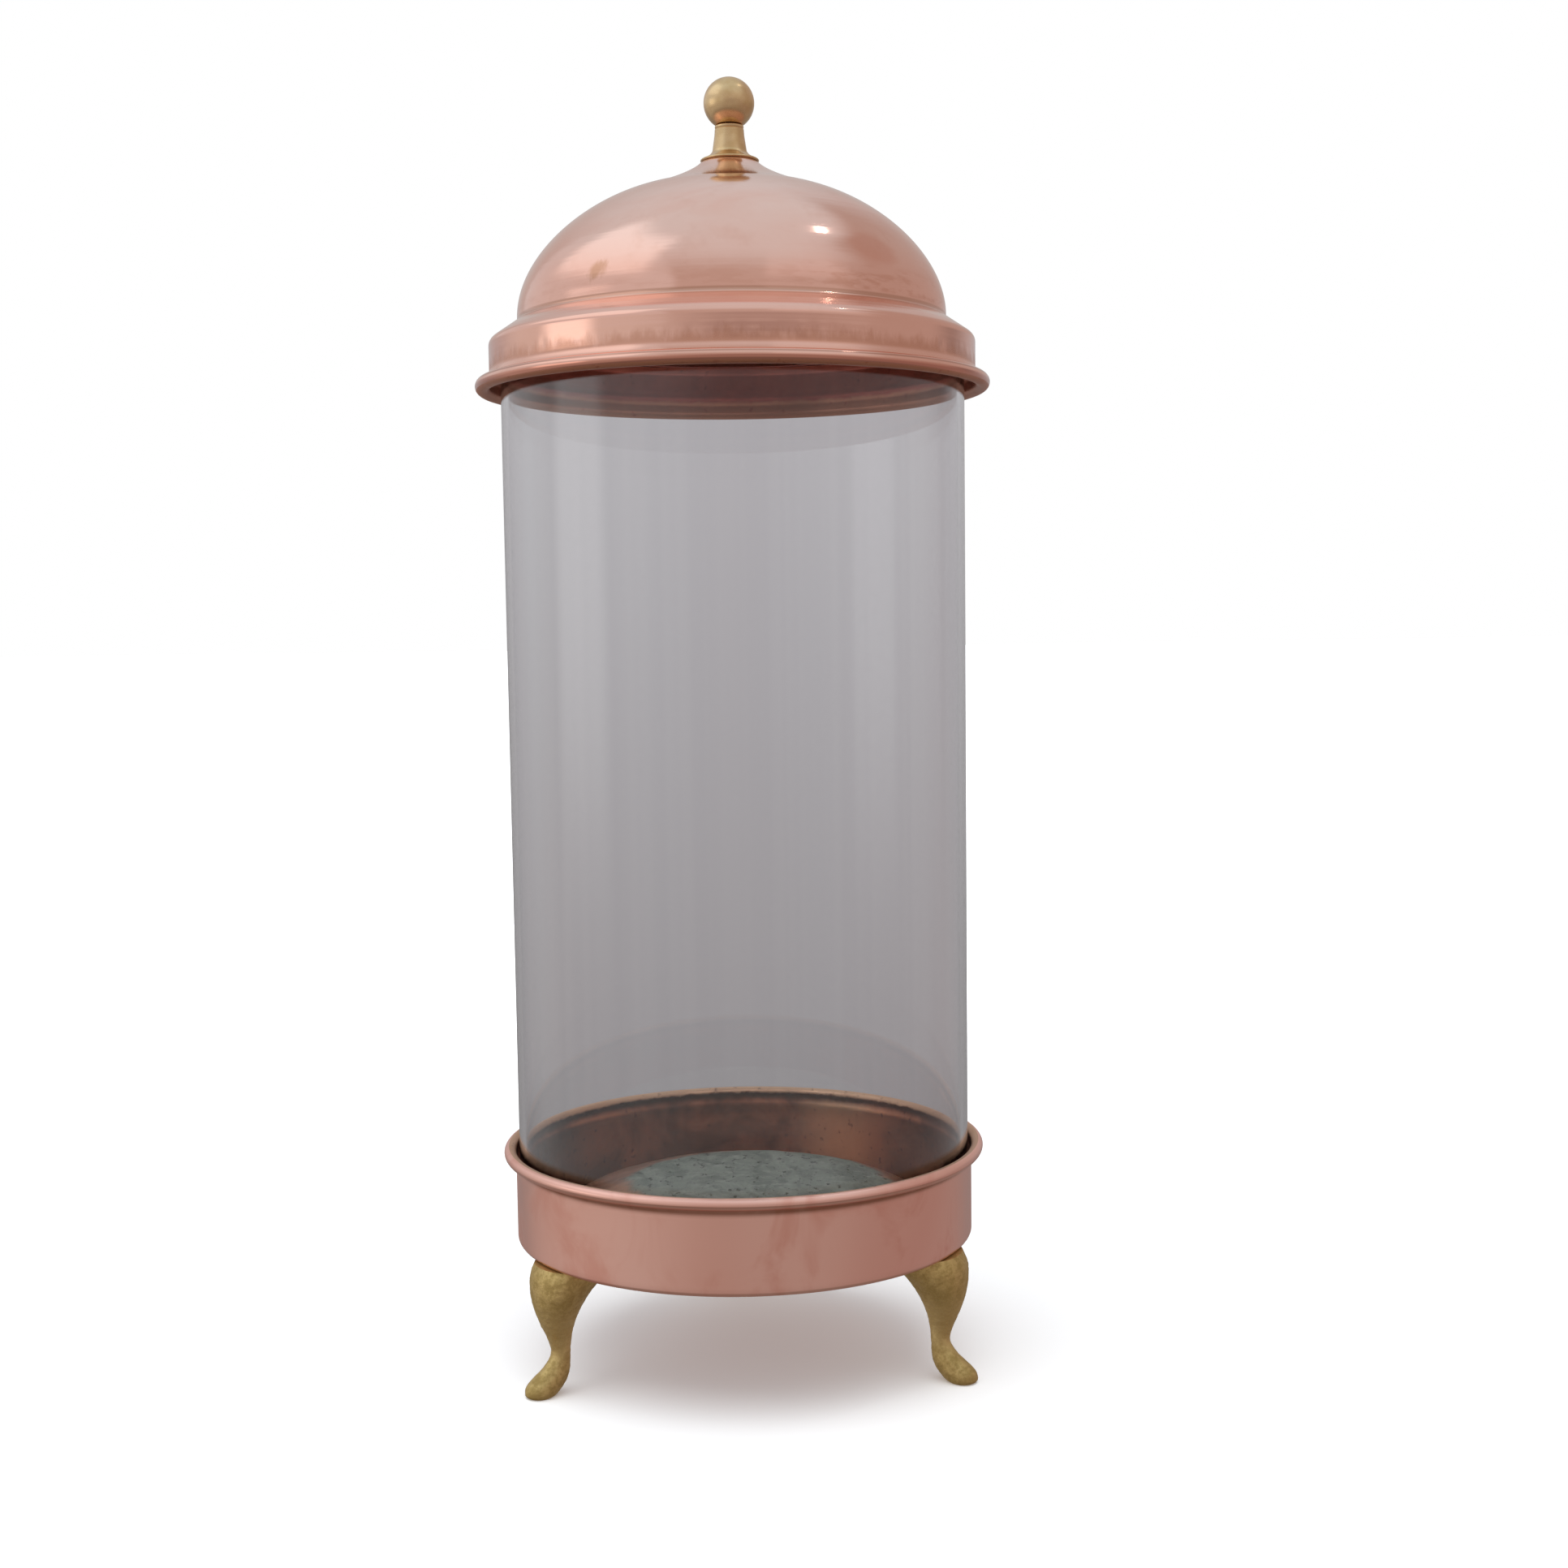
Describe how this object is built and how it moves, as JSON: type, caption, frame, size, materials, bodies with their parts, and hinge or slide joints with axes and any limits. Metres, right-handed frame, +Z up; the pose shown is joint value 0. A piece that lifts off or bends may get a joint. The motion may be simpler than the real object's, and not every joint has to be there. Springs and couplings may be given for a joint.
{
  "type": "glass display jar",
  "caption": "Open glass cylinder standing in a footed copper tray, closed by a lift-off copper dome lid with a brass ball knob.",
  "frame": {"origin": "on the jar's axis, at the floor that its three feet stand on", "axes": "+Z up along the jar's axis; the front is towards -Y, with one leg behind at +Y and two in front, either side of -Y; +X to the right seen from the front"},
  "size_m": [0.2218, 0.222, 0.5592],
  "materials": {
    "lid_copper": "spun copper, polished, fine turning lines",
    "tray_copper": "copper, satin and slightly blotched",
    "turned_brass": "turned brass, satin",
    "cast_brass": "sand-cast brass, rough and dull",
    "verdigris": "copper under a grey-green patina, copper-brown at the edge",
    "steel": "plain steel wire and fasteners",
    "clear_glass": "clear, slightly grey, ground ends"
  },
  "bodies": {
    "base": {"tray_shell": "tray_copper", "tray_edge_wire": "steel", "floor_plate": "verdigris", "leg_rear": "cast_brass", "leg_front_left": "cast_brass", "leg_front_right": "cast_brass", "screw_leg_rear_a": "steel", "screw_leg_rear_b": "steel", "screw_leg_front_left_a": "steel", "screw_leg_front_left_b": "steel", "screw_leg_front_right_a": "steel", "screw_leg_front_right_b": "steel", "washer_leg_rear_a": "steel", "washer_leg_rear_b": "steel", "washer_leg_front_left_a": "steel", "washer_leg_front_left_b": "steel", "washer_leg_front_right_a": "steel", "washer_leg_front_right_b": "steel"},
    "glass": {"glass_cylinder": "clear_glass"},
    "lid": {"lid_shell": "lid_copper", "lid_edge_wire": "steel", "finial_ball": "turned_brass", "finial_neck": "turned_brass", "finial_stud": "steel", "finial_washer": "steel", "finial_nut": "steel"}
  },
  "joints": [
    {"name": "glass_lift", "type": "slide", "parent": "base", "child": "glass", "axis": [0, 0, 1], "range_m": [0, 0.06]},
    {"name": "lid_lift", "type": "slide", "parent": "glass", "child": "lid", "axis": [0, 0, 1], "range_m": [0, 0.2]}
  ]
}
